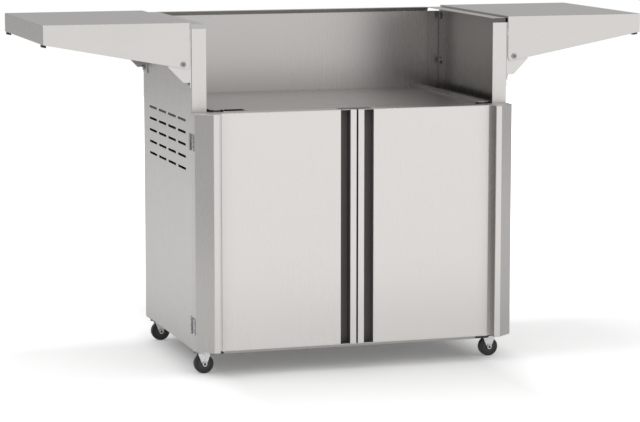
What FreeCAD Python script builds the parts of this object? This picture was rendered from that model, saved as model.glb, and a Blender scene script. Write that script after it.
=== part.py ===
import FreeCAD, Part
import math
import os
import types

import Sketcher

# A sheet-steel cart for a built-in grill head: a cabinet with two doors, an open
# cradle above the deck, a folding shelf on each side and four swivel casters.
# Lengths are millimetres. Z is up from the floor, X runs to the right and Y to the
# back; the origin is under the middle of the whole cart, doors included.

doc = FreeCAD.newDocument("GrillCart")

# Driving dimensions: name, value, what it measures
DIMENSIONS = (
    ("sheet", 1.2, "thickness of the cabinet, door and shelf sheet"),
    ("bend", 1.6, "outer radius of the bends in the sheet"),
    ("heavy_sheet", 3.0, "thickness of the shelf brackets"),
    ("seam", 0.3, "gap left between pieces that pass each other"),
    # Cabinet
    ("cart_width", 840.0, "over the outer faces of the side panels"),
    ("cabinet_depth", 516.0, "front to rear face of the side panels"),
    ("post_width", 38.6, "width of the flanges around each side panel"),
    ("post_gap", 11.5, "relief between the posts and the top flange"),
    ("flange_start", 12.0, "front end of the top flange"),
    ("flange_short", 8.0, "how far the top flange stops short of the rear"),
    ("slot_length", 81.0, "length of one vent slot"),
    ("slot_height", 6.3, "height of one vent slot"),
    ("slot_clip", 1.9, "how far the corners of a vent slot are clipped"),
    ("slot_first", 102.0, "middle of the first vent slot behind the front"),
    ("slot_pitch", 102.5, "spacing of the vent slots along the panel"),
    ("slot_drop", 149.1, "lowest row of vent slots, below the top of the deck"),
    ("slot_rise", 30.8, "spacing of the rows of vent slots"),
    # Rear panels
    ("wall_inset", 19.0, "from the rear of the cabinet to the face of the back wall"),
    ("wall_skirt", 32.0, "how far the back wall reaches below the top of the deck"),
    ("wall_margin", 40.0, "from a side panel's outer face to the back wall's end"),
    ("rim_height", 10.0, "height of the leaning rim on the back wall"),
    ("rim_lean", 7.0, "how far the rim leans forward"),
    # Deck and its supports
    ("deck_height", 603.0, "from the bottom of the cabinet to the top of the deck"),
    ("cradle_height", 219.5, "from the top of the deck to the top of the side panels"),
    ("ledge_margin", 48.0, "from a side panel's outer face to the ledge's end"),
    ("ledge_width", 36.0, "width of the ledges at the sides of the deck"),
    ("ledge_start", 5.0, "front end of the ledges"),
    ("deck_step", 5.0, "rise of the ledges"),
    ("deck_lip", 30.0, "height of the turned-down deck edges"),
    ("trench_depth", 52.0, "depth of the gutter between ledge and side panel"),
    ("trench_inset", 12.0, "how far the ledge overhangs the gutter's inner wall"),
    ("trench_toe", 15.0, "width of the flange that carries the ledge"),
    ("trench_free", 10.0, "how far the gutter's outer wall stays below the ledge"),
    ("hose_margin", 4.0, "from the side of the low deck to the hose cutout"),
    ("hose_width", 55.0, "width of the hose cutout"),
    ("hose_front", 6.5, "front edge of the hose cutout"),
    ("hose_length", 45.5, "length of the hose cutout, front to back"),
    # Base pan
    ("pan_rim", 26.0, "height of the base pan's turned-up edges"),
    ("strip_margin", 80.0, "from a side panel's outer face to the strip below the doors"),
    ("strip_drop", 14.0, "how far the strip hangs below the base pan"),
    # Doors
    ("door_depth", 69.0, "how far the door columns stand ahead of the cabinet"),
    ("door_gap", 1.4, "clearance under the doors"),
    ("door_clear", 1.0, "clearance behind the doors"),
    ("door_proud", 1.9, "how far the doors stand outside the side panels"),
    ("chamfer_width", 40.1, "width of the chamfer on a door's outer edge"),
    ("chamfer_depth", 33.2, "depth of the chamfer on a door's outer edge"),
    ("column_width", 15.4, "width of the column's front face"),
    ("groove_width", 10.3, "width of the groove beside the column"),
    ("groove_depth", 29.8, "depth of the groove behind the column's front"),
    ("face_setback", 23.8, "from the column's front back to the wide face"),
    ("pull_outer", 43.6, "outer edge of the finger channel"),
    ("pull_inner", 18.2, "inner edge of the finger channel"),
    ("pull_depth", 25.7, "depth of the finger channel behind the wide face"),
    ("lip_rise", 1.0, "how far the lip strip stands ahead of the wide face"),
    ("centre_gap", 4.6, "gap between the two doors"),
    # Hinges
    ("hinge_height", 40.0, "height of one hinge"),
    ("hinge_low_margin", 43.0, "from the bottom of the cabinet to the lower hinges"),
    ("hinge_high_margin", 94.0, "from the top of the doors to the foot of the upper hinges"),
    ("hinge_leaf", 28.0, "how far the leaves reach from the hinge pin"),
    ("hinge_plate", 1.5, "thickness of the hinge leaves"),
    ("barrel_radius", 2.7, "radius of the hinge barrel"),
    ("pin_radius", 1.5, "radius of the hinge pin"),
    ("pin_fit", 0.05, "radial clearance on pins and shafts"),
    # Catches
    ("catch_middle", 44.0, "door catches, out from the middle of the cart"),
    ("catch_length", 38.0, "length of a door catch"),
    ("catch_depth", 15.0, "depth of a door catch"),
    ("catch_height", 18.0, "height of a door catch"),
    ("catch_tab", 2.0, "thickness of the tab behind a door catch"),
    ("catch_tab_height", 15.0, "height of the tab behind a door catch"),
    ("strike_thickness", 0.9, "thickness of the strike plates on the doors"),
    # Shelves
    ("shelf_rise", 4.5, "how far the shelves stand above the side panels"),
    ("shelf_clear", 3.4, "from a side panel to the inner end of a shelf"),
    ("shelf_length", 370.0, "length of a shelf"),
    ("shelf_front", 1.0, "how far the shelves stand ahead of the cabinet"),
    ("shelf_back", 3.5, "how far the shelves stop short of the cabinet's rear"),
    ("shelf_edge", 48.0, "height of a shelf's outer end"),
    ("shelf_slope", 0.1863, "slope of the lower edge of the shelf's sides"),
    ("end_hem", 10.0, "width of the hem under a shelf's outer end"),
    ("side_hem", 6.0, "width of the hems under a shelf's sides"),
    ("hem_inset", 68.0, "from a shelf's inner end to its side hems"),
    ("shelf_flange", 20.0, "height of a shelf's inner flange"),
    # Shelf pivots and brackets
    ("pivot_inset", 17.0, "from a shelf's inner end to its pivots"),
    ("pivot_drop", 103.6, "from a shelf's top down to its pivots"),
    ("pivot_shank", 3.0, "radius of a shelf pivot"),
    ("pivot_head", 6.5, "radius of a shelf pivot's head"),
    ("pivot_head_height", 2.5, "height of a shelf pivot's head"),
    ("pivot_boss", 17.0, "rounding of the shelf's side about its pivot"),
    ("boss_heel", 12.0, "from the pivots inward to where the rounding runs free"),
    ("boss_toe", 34.0, "from the pivots outward to where the rounding ends"),
    ("bracket_width", 40.0, "width of a bracket's plate"),
    ("bracket_foot", 60.4, "how far a bracket's plate reaches below the pivots"),
    ("bracket_sink", 16.0, "from a shelf's top down to a bracket's plate"),
    ("wing_beyond", 38.0, "how far a bracket's wing reaches beyond the pivots"),
    ("wing_foot", 46.4, "how far a wing reaches below the pivots"),
    ("wing_toe", 19.6, "length of the level part of a wing's lower edge"),
    ("wing_shoulder", 6.9, "how far the wing's outer corner is below the pivots"),
    ("wing_head", 53.6, "how far a wing reaches above the pivots"),
    ("wing_corner", 8.5, "from the pivots to the cut upper corner of a wing"),
    ("wing_front", 1.0, "front face of the front wings, behind the cabinet's front"),
    ("wing_back", 11.0, "rear face of the rear wings, ahead of the cabinet's rear"),
    ("bolt_margin", 12.0, "bracket bolts, in from the edges of a bracket's plate"),
    ("bolt_head", 10.0, "width across the flats of the bracket bolts and their nuts"),
    ("bolt_head_height", 4.0, "height of the bracket bolts' heads and of their nuts"),
    # Rubber bumpers on the shelves
    ("bumper_length", 11.0, "length of a bumper along the shelf"),
    ("bumper_width", 15.0, "width of a bumper"),
    ("bumper_inset", 15.0, "from the sides of a shelf to its bumpers"),
    ("bumper_drop", 6.5, "how far a bumper hangs below the shelf"),
    # Casters
    ("wheel_radius", 25.0, "radius of a caster wheel"),
    ("wheel_width", 17.0, "width of a caster wheel"),
    ("wheel_crown", 0.6, "how much the tread falls away at its shoulders"),
    ("axle_radius", 4.0, "radius of a caster axle"),
    ("axle_nut", 11.0, "width across the flats of the axle's head and nut"),
    ("axle_nut_height", 4.0, "height of the axle's head and nut"),
    ("caster_inset", 21.0, "from a side panel's outer face to the caster swivels"),
    ("caster_front", 30.0, "front caster swivels, behind the cabinet's front"),
    ("caster_rear", 23.0, "rear caster swivels, ahead of the cabinet's rear"),
    ("caster_trail", 13.0, "from the swivel to the axle"),
    ("plate_length", 40.0, "caster plate across the cart"),
    ("plate_width", 45.0, "caster plate along the cart"),
    ("plate_thickness", 2.5, "thickness of a caster plate"),
    ("fork_sheet", 2.0, "thickness of a caster fork"),
    ("fork_half", 12.0, "half the width over a caster fork"),
    ("fork_clear", 1.7, "clearance between a wheel and the crown of its fork"),
    ("leg_half", 16.0, "half the width of a fork leg at its top"),
    ("leg_tip", 6.0, "half the width of a fork leg at the axle"),
    ("race_radius", 14.0, "radius of the swivel race"),
    ("race_height", 9.9, "height of the swivel race under its plate"),
    ("kingpin_radius", 3.0, "radius of the swivel pin"),
    ("kingpin_nut", 9.0, "width across the flats of the swivel pin's nut"),
    ("screw_head", 8.0, "width across the flats of the caster screws"),
    ("screw_height", 2.5, "height of the caster screws' heads"),
    ("screw_across", 14.0, "caster screws from the swivel across the cart"),
    ("screw_along", 17.0, "caster screws from the swivel along the cart"),
)

sheet_table = doc.addObject("Spreadsheet::Sheet", "Sizes")
for row, (alias, value, note) in enumerate(DIMENSIONS, start=1):
    sheet_table.set(f"A{row}", note)
    sheet_table.set(f"B{row}", str(value))
    sheet_table.setAlias(f"B{row}", alias)
doc.recompute()


class Size:
    """A length that knows its number and its formula on the sheet of dimensions."""

    def __init__(self, number, formula):
        self.number = number
        self.formula = formula

    def __add__(self, other):
        other = as_size(other)
        return Size(self.number + other.number, f"({self.formula} + {other.formula})")

    def __sub__(self, other):
        other = as_size(other)
        return Size(self.number - other.number, f"({self.formula} - {other.formula})")

    def __mul__(self, other):
        other = as_size(other)
        return Size(self.number * other.number, f"({self.formula} * {other.formula})")

    def __truediv__(self, other):
        other = as_size(other)
        return Size(self.number / other.number, f"({self.formula} / {other.formula})")

    def __neg__(self):
        return self * -1

    __radd__ = __add__
    __rmul__ = __mul__


def as_size(value):
    if isinstance(value, Size):
        return value
    return Size(float(value), f"({float(value)})")


d = types.SimpleNamespace(
    **{alias: Size(value, f"Sizes.{alias}") for alias, value, note in DIMENSIONS}
)

# Places that several pieces share, in the cabinet's own frame: X from the middle of
# the cart, Y back from the front face of the side panels, Z up from the floor
cabinet_front = (d.door_depth - d.cabinet_depth) / 2
panel_outer = d.cart_width / 2
panel_inner = panel_outer - d.sheet
rear_flange = d.cabinet_depth - d.sheet
wall_face = d.cabinet_depth - d.wall_inset

# Heights, from the casters up
crown_under = d.wheel_radius * 2 + d.fork_clear
fork_top = crown_under + d.fork_sheet
plate_under = fork_top + d.seam + d.race_height
panel_bottom = plate_under + d.plate_thickness
pan_top = panel_bottom + d.sheet
door_bottom = panel_bottom + d.door_gap
deck_top = panel_bottom + d.deck_height
deck_under = deck_top - d.sheet
ledge_top = deck_top + d.deck_step
support_top = ledge_top - d.sheet
wall_bottom = deck_top - d.wall_skirt
panel_top = deck_top + d.cradle_height
post_top = panel_top - d.post_gap
shelf_top = panel_top + d.shelf_rise
pivot_height = shelf_top - d.pivot_drop

# Widths, from the side panels in
wall_half = panel_outer - d.wall_margin
ledge_half = panel_outer - d.ledge_margin
deck_half = ledge_half - d.ledge_width
trench_wall = ledge_half - d.trench_inset
strip_half = panel_outer - d.strip_margin
caster_reach = panel_outer - d.caster_inset
door_outer = panel_outer + d.door_proud
column_edge = door_outer - d.chamfer_width
column_inner = column_edge - d.column_width
groove_inner = column_inner - d.groove_width
door_inner = d.centre_gap / 2

# Depths of the doors, ahead of the cabinet
return_depth = d.door_depth - d.chamfer_depth
groove_floor = d.door_depth - d.groove_depth
face_depth = d.door_depth - d.face_setback
lip_depth = face_depth + d.lip_rise
pull_floor = face_depth - d.pull_depth

# Hinges, shelves and brackets, from the side panels out
hinge_reach = door_outer + d.seam + d.barrel_radius
shelf_inner = panel_outer + d.shelf_clear
shelf_outer = shelf_inner + d.shelf_length
shelf_rear = d.cabinet_depth - d.shelf_back
pivot_reach = shelf_inner + d.pivot_inset
bracket_face = panel_outer + d.heavy_sheet
bracket_bottom = pivot_height - d.bracket_foot
bracket_top = shelf_top - d.bracket_sink
wing_rear = d.cabinet_depth - d.wing_back

SIDES = (("left", -1), ("right", 1))

# Vent slots in each side panel
SLOT_COLUMNS = 4
SLOT_ROWS = 5

# Two edges closer than this are the same edge
TOUCH = 0.001

pieces = []


def span(one, other):
    """Two places in rising order."""
    one = as_size(one)
    other = as_size(other)
    return (one, other) if one.number <= other.number else (other, one)


class Piece:
    """One separate piece: profiles are raised from and sunk into its body."""

    # origin plane, the direction of its normal along the axis it faces
    PLANES = {"XY": 1, "XZ": -1, "YZ": 1}

    def __init__(self, label, x=0, y=cabinet_front, z=0, turned=False):
        self.body = doc.addObject("PartDesign::Body", label)
        self.body.Label = label
        self.body.AllowCompound = True
        turn = FreeCAD.Rotation(FreeCAD.Vector(0, 0, 1), 180 if turned else 0)
        self.body.Placement = FreeCAD.Placement(FreeCAD.Vector(), turn)
        for axis, place in zip("xyz", (x, y, z)):
            self.body.setExpression(f"Placement.Base.{axis}", as_size(place).formula)
        pieces.append(self.body)

    def sketch(self, plane, level, loops):
        """Draw closed loops on an origin plane moved to a level along its axis."""
        sketch = self.body.newObject("Sketcher::SketchObject", f"{self.body.Label}_profile")
        planes = self.body.Origin.OriginFeatures
        support = next(item for item in planes if item.Role == f"{plane}_Plane")
        sketch.AttachmentSupport = [(support, "")]
        sketch.MapMode = "FlatFace"
        offset = as_size(level) * self.PLANES[plane]
        sketch.setExpression("AttachmentOffset.Base.z", offset.formula)
        for loop in loops:
            loop(sketch)
        return sketch

    def add(self, plane, start, end, *loops):
        """Raise the loops along the plane's axis from start to end."""
        sketch = self.sketch(plane, start, loops)
        pad = self.body.newObject("PartDesign::Pad", f"{self.body.Label}_pad")
        pad.Profile = sketch
        pad.Reversed = self.PLANES[plane] < 0
        pad.setExpression("Length", (as_size(end) - start).formula)
        return pad

    def cut(self, plane, start, end, *loops):
        """Sink the loops along the plane's axis from start to end."""
        sketch = self.sketch(plane, start, loops)
        pocket = self.body.newObject("PartDesign::Pocket", f"{self.body.Label}_pocket")
        pocket.Profile = sketch
        pocket.Reversed = self.PLANES[plane] > 0
        pocket.setExpression("Length", (as_size(end) - start).formula)
        return pocket

    def spin(self, plane, axis, *loops):
        """Turn the loops once around an axis of their own sketch."""
        sketch = self.sketch(plane, 0, loops)
        turn = self.body.newObject("PartDesign::Revolution", f"{self.body.Label}_turn")
        turn.Profile = sketch
        turn.ReferenceAxis = (sketch, [axis])
        return turn

    def bend(self, axis, *places):
        """Round the sharp edges that run along an axis at the places given."""
        doc.recompute()
        tip = self.body.Tip
        across = [index for index, letter in enumerate("XYZ") if letter != axis]
        names = []
        for number, edge in enumerate(tip.Shape.Edges, start=1):
            if len(edge.Vertexes) < 2:
                continue
            start, end = (vertex.Point for vertex in edge.Vertexes)
            for place in places:
                target = [as_size(value).number for value in place]
                gaps = [
                    abs(point[index] - value)
                    for point in (start, end)
                    for index, value in zip(across, target)
                ]
                if max(gaps) < TOUCH:
                    names.append(f"Edge{number}")
        rounding = self.body.newObject("PartDesign::Fillet", f"{self.body.Label}_bend")
        rounding.Base = (tip, names)
        rounding.setExpression("Radius", d.bend.formula)
        return rounding

    def repeat(self, feature, axis, length, count):
        """Repeat a feature in a straight line along an axis of its sketch."""
        pattern = self.body.newObject("PartDesign::LinearPattern", f"{self.body.Label}_rows")
        pattern.Originals = [feature]
        pattern.Direction = (feature.Profile[0], [axis])
        pattern.setExpression("Length", length.formula)
        pattern.Occurrences = count
        self.body.Tip = pattern
        return pattern


def hold(sketch, kind, line, place, point=1):
    """Fix one coordinate of a point of the sketch from the sheet."""
    place = as_size(place)
    index = sketch.addConstraint(Sketcher.Constraint(kind, -1, 1, line, point, place.number))
    sketch.setExpression(f"Constraints[{index}]", place.formula)


def polygon(*corners):
    """A closed loop of straight lines through the corners."""

    def draw(sketch):
        first = sketch.GeometryCount
        vectors = [
            FreeCAD.Vector(as_size(across).number, as_size(up).number, 0)
            for across, up in corners
        ]
        for start, end in zip(vectors, vectors[1:] + vectors[:1]):
            sketch.addGeometry(Part.LineSegment(start, end), False)
        for index, (across, up) in enumerate(corners):
            before = first + (index - 1) % len(corners)
            sketch.addConstraint(
                Sketcher.Constraint("Coincident", before, 2, first + index, 1)
            )
            hold(sketch, "DistanceX", first + index, across)
            hold(sketch, "DistanceY", first + index, up)

    return draw


def rectangle(left, right, low, high):
    return polygon((left, low), (right, low), (right, high), (left, high))


def circle(across, up, radius):
    """A circle about a point."""

    def draw(sketch):
        middle = FreeCAD.Vector(as_size(across).number, as_size(up).number, 0)
        shape = Part.Circle(middle, FreeCAD.Vector(0, 0, 1), as_size(radius).number)
        index = sketch.addGeometry(shape, False)
        hold(sketch, "DistanceX", index, across, point=3)
        hold(sketch, "DistanceY", index, up, point=3)
        size = Sketcher.Constraint("Radius", index, as_size(radius).number)
        sketch.setExpression(
            f"Constraints[{sketch.addConstraint(size)}]", as_size(radius).formula
        )

    return draw


def vent(middle, up):
    """A vent slot with d.slot_clipped corners, lying along the sketch's first axis."""
    left = middle - d.slot_length / 2
    right = middle + d.slot_length / 2
    low = up - d.slot_height / 2
    high = up + d.slot_height / 2
    return polygon(
        (left + d.slot_clip, low),
        (right - d.slot_clip, low),
        (right, low + d.slot_clip),
        (right, high - d.slot_clip),
        (right - d.slot_clip, high),
        (left + d.slot_clip, high),
        (left, high - d.slot_clip),
        (left, low + d.slot_clip),
    )


def nut(across, up, width, sides=6):
    """A regular polygon of a given width across its flats, one flat at the top."""
    reach = width / (2 * math.cos(math.pi / sides))
    angles = [math.pi * (0.5 + (2 * index + 1) / sides) for index in range(sides)]
    return polygon(
        *[
            (across + reach * round(math.cos(angle), 9), up + reach * round(math.sin(angle), 9))
            for angle in angles
        ]
    )


# Cabinet


def side_panel(name, side):
    """A wall with flanges turned in along its front, rear and top, and rows of vents."""
    panel = Piece(f"side_panel_{name}")
    outer = panel_outer * side
    inner = panel_inner * side
    edge = (panel_outer - d.post_width) * side
    panel.add(
        "XY",
        panel_bottom,
        post_top,
        polygon(
            (outer, 0),
            (outer, d.cabinet_depth),
            (edge, d.cabinet_depth),
            (edge, rear_flange),
            (inner, rear_flange),
            (inner, d.sheet),
            (edge, d.sheet),
            (edge, 0),
        ),
    )
    panel.add(
        "XZ",
        d.flange_start,
        d.cabinet_depth - d.flange_short,
        polygon(
            (outer, post_top),
            (outer, panel_top),
            (edge, panel_top),
            (edge, panel_top - d.sheet),
            (inner, panel_top - d.sheet),
            (inner, post_top),
        ),
    )
    lowest = deck_top - d.slot_drop
    along = [d.slot_first + d.slot_pitch * index for index in range(SLOT_COLUMNS)]
    row = [vent(middle, lowest) for middle in along]
    vents = panel.cut("YZ", *span(outer, inner), *row)
    panel.repeat(vents, "V_Axis", d.slot_rise * (SLOT_ROWS - 1), SLOT_ROWS)
    panel.bend("Z", (outer, 0), (outer, d.cabinet_depth))
    panel.bend("Y", (outer, panel_top))


def back_panel():
    """The wall behind the grill: a pan with side returns and a rim that leans forward."""
    panel = Piece("back_panel")
    top = panel_top
    lean_start = top - d.rim_height
    face = wall_face
    lean = wall_face - d.rim_lean
    rear = rear_flange
    inner = face + d.sheet
    panel.add(
        "YZ",
        -wall_half,
        wall_half,
        polygon(
            (face, wall_bottom),
            (rear, wall_bottom),
            (rear, wall_bottom + d.sheet),
            (inner, wall_bottom + d.sheet),
            (inner, lean_start),
            (lean + d.sheet, top - d.sheet),
            (rear, top - d.sheet),
            (rear, top),
            (lean, top),
            (face, lean_start),
        ),
    )
    for name, side in SIDES:
        outer = wall_half * side
        within = (wall_half - d.sheet) * side
        ear = (panel_outer - d.sheet - d.seam) * side
        panel.add(
            "XY",
            wall_bottom,
            post_top,
            polygon(
                (within, face),
                (outer, face),
                (outer, rear - d.sheet),
                (ear, rear - d.sheet),
                (ear, rear),
                (within, rear),
            ),
        )


def rear_panel():
    """The flat panel that closes the back of the cabinet below the wall."""
    panel = Piece("rear_panel")
    half = panel_inner - d.seam
    panel.add(
        "XZ",
        rear_flange - d.sheet,
        rear_flange,
        rectangle(-half, half, pan_top, wall_bottom - d.sheet),
    )


def deck():
    """A tray with raised ledges, turned-down edges and a cutout for the gas hose."""
    tray = Piece("deck")
    low = deck_half
    high = ledge_half
    top_line = [
        (-high, ledge_top),
        (-low, ledge_top),
        (-low, deck_top),
        (low, deck_top),
        (low, ledge_top),
        (high, ledge_top),
    ]
    under_line = [
        (high, ledge_top - d.sheet),
        (low + d.sheet, ledge_top - d.sheet),
        (low + d.sheet, deck_under),
        (-low - d.sheet, deck_under),
        (-low - d.sheet, ledge_top - d.sheet),
        (-high, ledge_top - d.sheet),
    ]
    tray.add("XZ", d.ledge_start, wall_face, polygon(*top_line, *under_line))
    tray.add("XZ", 0, d.ledge_start, rectangle(-low, low, deck_under, deck_top))
    lip_bottom = deck_under - d.deck_lip
    tray.add("XZ", 0, d.sheet, rectangle(-low, low, lip_bottom, deck_top))
    tray.add("XZ", wall_face - d.sheet, wall_face, rectangle(-low, low, lip_bottom, deck_top))
    left = d.hose_margin - low
    hose = rectangle(left, left + d.hose_width, d.hose_front, d.hose_front + d.hose_length)
    tray.cut("XY", deck_under - d.sheet, ledge_top, hose)


def deck_support(name, side):
    """A gutter on the side panel whose inner wall carries the ledge of the deck."""
    rail = Piece(f"deck_support_{name}")
    floor = ledge_top - d.trench_depth
    wall = panel_inner * side
    stand = trench_wall * side
    toe = (trench_wall - d.trench_toe) * side
    skin = d.sheet * side
    rail.add(
        "XZ",
        d.ledge_start,
        wall_face,
        polygon(
            (wall, floor),
            (wall, ledge_top - d.trench_free),
            (wall - skin, ledge_top - d.trench_free),
            (wall - skin, floor + d.sheet),
            (stand + skin, floor + d.sheet),
            (stand + skin, support_top),
            (toe, support_top),
            (toe, support_top - d.sheet),
            (stand, support_top - d.sheet),
            (stand, floor),
        ),
    )


def base_pan():
    """The cabinet floor, turned up at the sides and rear, with a strip hanging in front."""
    pan = Piece("base_pan")
    half = panel_inner
    back = rear_flange - d.sheet
    rim = pan_top + d.pan_rim
    pan.add("XY", panel_bottom, rim, rectangle(-half, half, d.sheet, back))
    pan.cut(
        "XY", pan_top, rim, rectangle(-half + d.sheet, half - d.sheet, d.sheet, back - d.sheet)
    )
    pan.add(
        "XZ",
        0,
        d.sheet,
        rectangle(-strip_half, strip_half, panel_bottom - d.strip_drop, pan_top),
    )


# Doors


def door_column(name, side):
    """The outer edge of a door: return, chamfer, narrow front and groove in one sheet."""
    column = Piece(f"door_column_{name}")
    outer = door_outer
    skin = d.sheet
    line = [
        (outer, -d.door_clear),
        (outer, -return_depth),
        (column_edge, -d.door_depth),
        (column_inner, -d.door_depth),
        (column_inner, -groove_floor),
        (groove_inner, -groove_floor),
    ]
    back_line = [
        (groove_inner, skin - groove_floor),
        (column_inner + skin, skin - groove_floor),
        (column_inner + skin, skin - d.door_depth),
        (column_edge - skin / 2, skin - d.door_depth),
        (outer - skin, skin / 2 - return_depth),
        (outer - skin, -d.door_clear),
    ]
    points = [(across * side, along) for across, along in line + back_line]
    column.add("XY", door_bottom + d.sheet, deck_top - d.sheet, polygon(*points))
    column.bend("Z", *points[1:4])


def door_panel(name, side):
    """The wide face of a door, turned back along both of its upright edges."""
    face = Piece(f"door_panel_{name}")
    skin = d.sheet
    points = [
        (groove_inner, -groove_floor),
        (groove_inner, -face_depth),
        (d.pull_outer, -face_depth),
        (d.pull_outer, -pull_floor),
        (d.pull_outer + skin, -pull_floor),
        (d.pull_outer + skin, skin - face_depth),
        (groove_inner - skin, skin - face_depth),
        (groove_inner - skin, -groove_floor),
    ]
    face.add(
        "XY",
        door_bottom + d.sheet,
        deck_top - d.sheet,
        polygon(*[(across * side, along) for across, along in points]),
    )


def door_pull(name, side):
    """The full-height finger channel and the lip strip beside the middle of the cart."""
    pull = Piece(f"door_pull_{name}")
    skin = d.sheet
    points = [
        (d.pull_outer + skin, -pull_floor),
        (d.pull_inner, -pull_floor),
        (d.pull_inner, -lip_depth),
        (door_inner, -lip_depth),
        (door_inner, -d.door_clear - skin),
        (door_inner + skin, -d.door_clear - skin),
        (door_inner + skin, skin - lip_depth),
        (d.pull_inner - skin, skin - lip_depth),
        (d.pull_inner - skin, skin - pull_floor),
        (d.pull_outer + skin, skin - pull_floor),
    ]
    pull.add(
        "XY",
        door_bottom + d.sheet,
        deck_top - d.sheet,
        polygon(*[(across * side, along) for across, along in points]),
    )


def door_liner(name, side):
    """The back of a door with its top and bottom turned forward as caps."""
    liner = Piece(f"door_liner_{name}")
    outline = [
        (door_inner, -d.door_clear),
        (door_inner, -lip_depth),
        (d.pull_inner, -lip_depth),
        (d.pull_inner, -face_depth),
        (groove_inner, -face_depth),
        (groove_inner, -groove_floor),
        (column_inner, -groove_floor),
        (column_inner, -d.door_depth),
        (column_edge, -d.door_depth),
        (door_outer, -return_depth),
        (door_outer, -d.door_clear),
    ]
    cap = polygon(*[(across * side, along) for across, along in outline])
    liner.add("XY", door_bottom, door_bottom + d.sheet, cap)
    liner.add("XY", deck_top - d.sheet, deck_top, cap)
    low = door_bottom + d.sheet
    high = deck_top - d.sheet
    edges = span(door_inner * side, (door_outer - d.sheet) * side)
    rear = -d.door_clear
    liner.add("XZ", rear - d.sheet, rear, rectangle(*edges, low, high))


# Hinges and catches


def hinge_leaves(label, side, fixed):
    """One side's leaves of one kind, fixed with the pins or moving with their bores."""
    leaves = Piece(label)
    axis = hinge_reach * side
    face = panel_outer if fixed else door_outer
    plate = span(face * side, (face + d.hinge_plate) * side)
    tie = span(face * side, axis)
    half = d.hinge_height / 2
    if fixed:
        leaf = (d.barrel_radius, d.hinge_leaf)
        arm = (0, d.barrel_radius + d.hinge_plate)
    else:
        leaf = (-d.hinge_leaf, -d.barrel_radius)
        arm = (-d.barrel_radius, 0)
    for low in (panel_bottom + d.hinge_low_margin, deck_top - d.hinge_high_margin):
        high = low + d.hinge_height
        knuckle = (low, low + half) if fixed else (low + half + d.seam, high)
        leaves.add("XY", low, high, rectangle(*plate, *leaf))
        leaves.add("XY", *knuckle, circle(axis, 0, d.barrel_radius))
        leaves.add("XY", *knuckle, rectangle(*tie, *arm))
        if fixed:
            leaves.add("XY", low + half, high, circle(axis, 0, d.pin_radius))
        else:
            leaves.cut("XY", *knuckle, circle(axis, 0, d.pin_radius + d.pin_fit))


def door_catches():
    """Magnet blocks under the deck's front edge, each with a tab behind that edge."""
    blocks = Piece("door_catches")
    edge = deck_under - d.deck_lip
    for name, side in SIDES:
        ends = span(
            (d.catch_middle - d.catch_length / 2) * side,
            (d.catch_middle + d.catch_length / 2) * side,
        )
        back = d.seam + d.catch_depth
        blocks.add("XY", edge - d.catch_height, edge, rectangle(*ends, d.seam, back))
        tab = rectangle(*ends, d.sheet, d.sheet + d.catch_tab)
        blocks.add("XY", edge, edge + d.catch_tab_height, tab)


def strike_plate(name, side):
    """The plate on the back of a door that its magnet holds."""
    strike = Piece(f"strike_plate_{name}")
    ends = span(
        (d.catch_middle - d.catch_length / 2) * side,
        (d.catch_middle + d.catch_length / 2) * side,
    )
    edge = deck_under - d.deck_lip
    rear = d.strike_thickness - d.door_clear
    strike.add("XZ", -d.door_clear, rear, rectangle(*ends, edge - d.catch_height, edge))


# Side shelves, their brackets and pivots


def bolt_places():
    """The four bolts of one side: how far back and how high."""
    return [
        (along, height)
        for along in (d.wing_front + d.bolt_margin, wing_rear - d.bolt_margin)
        for height in (bracket_top - d.bolt_margin, bracket_bottom + d.bolt_margin)
    ]


def shelf_bracket(label, side, rear):
    """A plate on the side panel with a wing turned out, cut away below the shelf."""
    bracket = Piece(label)
    plate = span(panel_outer * side, bracket_face * side)
    if rear:
        wing = (wing_rear - d.heavy_sheet, wing_rear)
        along = (wing_rear - d.bracket_width, wing_rear)
    else:
        wing = (d.wing_front, d.wing_front + d.heavy_sheet)
        along = (d.wing_front, d.wing_front + d.bracket_width)
    bracket.add("XY", bracket_bottom, bracket_top, rectangle(*plate, *along))
    wing_bottom = pivot_height - d.wing_foot
    wing_top = pivot_height + d.wing_head
    wing_reach = pivot_reach + d.wing_beyond
    outline = [
        (panel_outer, wing_bottom),
        (panel_outer + d.wing_toe, wing_bottom),
        (wing_reach, pivot_height - d.wing_shoulder),
        (wing_reach, pivot_height + d.wing_corner),
        (pivot_reach + d.wing_corner, wing_top),
        (panel_outer, wing_top),
    ]
    bracket.add("XZ", *wing, polygon(*[(across * side, up) for across, up in outline]))
    hole = circle(pivot_reach * side, pivot_height, d.pivot_shank + d.pin_fit)
    bracket.cut("XZ", *wing, hole)


def bracket_bolts():
    """The heads of the bolts that hold the shelf brackets, outside the side panels."""
    bolts = Piece("bracket_bolts")
    for name, side in SIDES:
        seats = span(bracket_face * side, (bracket_face + d.bolt_head_height) * side)
        bolts.add("YZ", *seats, *[nut(*place, d.bolt_head) for place in bolt_places()])


def bracket_nuts():
    """The nuts of the bracket bolts, inside the side panels."""
    nuts = Piece("bracket_nuts")
    for name, side in SIDES:
        seats = span(panel_inner * side, (panel_inner - d.bolt_head_height) * side)
        nuts.add("YZ", *seats, *[nut(*place, d.bolt_head) for place in bolt_places()])


def shelf_low_edge(across):
    """Height of the sloping lower edge of a shelf's side."""
    return shelf_top - d.shelf_edge - (shelf_outer - across) * d.shelf_slope


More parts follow.
